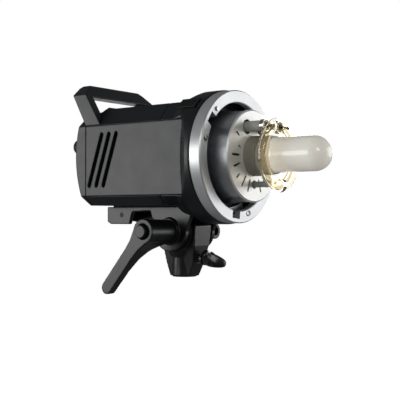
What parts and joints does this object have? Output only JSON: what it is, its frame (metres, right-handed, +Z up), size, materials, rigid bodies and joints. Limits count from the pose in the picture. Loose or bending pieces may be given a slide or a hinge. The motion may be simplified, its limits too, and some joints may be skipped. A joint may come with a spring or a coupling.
{
  "type": "monolight strobe",
  "caption": "Studio flash head with a bayonet ring, ring flash tube, modelling lamp, carrying handle and a tilting bracket with a clamp lever and stand socket.",
  "frame": {"origin": "centre of the stand socket's mouth, at the bottom of the stand casting", "axes": "+Z up along the stand's axis, the lamp points along -Y, +X to the right seen from in front of the back"},
  "size_m": [0.1285, 0.2708, 0.2042],
  "materials": {
    "black_polycarbonate": "fine textured black moulding",
    "satin_aluminium": "satin anodised",
    "cast_black": "satin black powder coat on die casting",
    "dark_plastic": "plain black moulding",
    "button_grey": "dark grey moulding",
    "plated_steel": "zinc plated",
    "brass": "turned",
    "steatite": "unglazed grey-white",
    "frosted_glass": "etched inside",
    "clear_glass": "clear, faint amber tint",
    "dark_window": "smoked window",
    "red_window": "dark red translucent",
    "rubber": "matte",
    "washer_fibre": "friction fibre",
    "board_green": "solder mask",
    "component": "sleeved parts",
    "nickel_wire": "bright nickel"
  },
  "bodies": {
    "stand": {"stand_casting": "cast_black"},
    "head": {"bayonet_bed": "dark_plastic", "bayonet_ring": "satin_aluminium", "bayonet_springs": "plated_steel", "board_components": "component", "bracket_pad": "rubber", "bracket_screws": "plated_steel", "bulkhead": "dark_plastic", "capacitors": "component", "carry_handle": "black_polycarbonate", "chassis": "plated_steel", "control_board": "board_green", "control_plate": "black_polycarbonate", "control_plate_screws": "plated_steel", "control_switches": "dark_plastic", "display_window": "dark_window", "fan_frame": "dark_plastic", "flash_tube": "clear_glass", "friction_washers": "washer_fibre", "front_collar": "black_polycarbonate", "fuse_holder": "dark_plastic", "inlet_pins": "brass", "lamp_base": "steatite", "lamp_cap": "plated_steel", "lamp_dish": "satin_aluminium", "lamp_holder": "steatite", "lower_shell": "black_polycarbonate", "main_board": "board_green", "mains_inlet": "dark_plastic", "modelling_lamp": "frosted_glass", "rear_cover": "black_polycarbonate", "ring_screws": "plated_steel", "rocker_housing": "dark_plastic", "side_panel_left": "black_polycarbonate", "side_panel_right": "black_polycarbonate", "slave_window": "red_window", "support_post": "steatite", "sync_jack": "dark_plastic", "tilt_bracket": "cast_black", "trigger_clip": "nickel_wire", "trigger_wire": "nickel_wire", "tube_clamps": "plated_steel", "tube_posts": "steatite", "upper_shell": "black_polycarbonate"},
    "lever": {"clamp_lever": "cast_black", "tilt_bolt": "plated_steel"},
    "lever_release": {"lever_button": "black_polycarbonate"},
    "pad": {"clamp_pad": "brass"},
    "wing": {"wing_knob": "dark_plastic", "clamp_screw": "plated_steel"},
    "slider": {"release_slider": "black_polycarbonate", "lock_pin": "plated_steel"},
    "fan": {"fan_rotor": "dark_plastic"},
    "dial": {"power_dial": "black_polycarbonate"},
    "rocker": {"power_rocker": "button_grey"},
    "fuse": {"fuse_cap": "dark_plastic"},
    "test": {"test_button": "button_grey"},
    "modelling": {"modelling_button": "button_grey"},
    "slave": {"slave_button": "button_grey"},
    "sound": {"sound_button": "button_grey"}
  },
  "joints": [
    {"name": "head_tilt", "type": "hinge", "parent": "stand", "child": "head", "pos_m": [0, 0, 0.044], "axis": [1, 0, 0], "range_deg": [-75, 28]},
    {"name": "lever_turn", "type": "hinge", "parent": "head", "child": "lever", "pos_m": [0, 0, 0.044], "axis": [1, 0, 0], "range_deg": [-60, 50]},
    {"name": "lever_button_push", "type": "slide", "parent": "lever", "child": "lever_release", "axis": [1, 0, 0], "range_m": [0, 0.003], "stiffness_N_per_m": 600},
    {"name": "pad_advance", "type": "slide", "parent": "stand", "child": "pad", "axis": [0, 1, 0], "range_m": [-0.00125, 0.00125]},
    {"name": "wing_turn", "type": "hinge", "parent": "pad", "child": "wing", "pos_m": [0, 0, 0.018], "axis": [0, 1, 0], "range_deg": [-360, 360]},
    {"name": "bayonet_release", "type": "slide", "parent": "head", "child": "slider", "axis": [0, 1, 0], "range_m": [0, 0.004], "stiffness_N_per_m": 600},
    {"name": "fan_spin", "type": "hinge", "parent": "head", "child": "fan", "pos_m": [0, 0, 0.1155], "axis": [0, 1, 0], "continuous": true},
    {"name": "dial_turn", "type": "hinge", "parent": "head", "child": "dial", "pos_m": [-0.035, 0.093, 0.1275], "axis": [0, 1, 0], "continuous": true},
    {"name": "rocker_tip", "type": "hinge", "parent": "head", "child": "rocker", "pos_m": [-0.005, 0.091, 0.095], "axis": [1, 0, 0], "range_deg": [-12, 12]},
    {"name": "fuse_cap_turn", "type": "hinge", "parent": "head", "child": "fuse", "pos_m": [-0.024, 0.093, 0.101], "axis": [0, 1, 0], "range_deg": [0, 60]},
    {"name": "test_push", "type": "slide", "parent": "head", "child": "test", "axis": [0, -1, 0], "range_m": [0, 0.001], "stiffness_N_per_m": 600},
    {"name": "modelling_push", "type": "slide", "parent": "head", "child": "modelling", "axis": [0, -1, 0], "range_m": [0, 0.001], "stiffness_N_per_m": 600},
    {"name": "slave_push", "type": "slide", "parent": "head", "child": "slave", "axis": [0, -1, 0], "range_m": [0, 0.001], "stiffness_N_per_m": 600},
    {"name": "sound_push", "type": "slide", "parent": "head", "child": "sound", "axis": [0, -1, 0], "range_m": [0, 0.001], "stiffness_N_per_m": 600}
  ],
  "couplings": [
    {"joint": "wing_turn", "follows": "pad_advance", "rad_per_m": 5026}
  ]
}
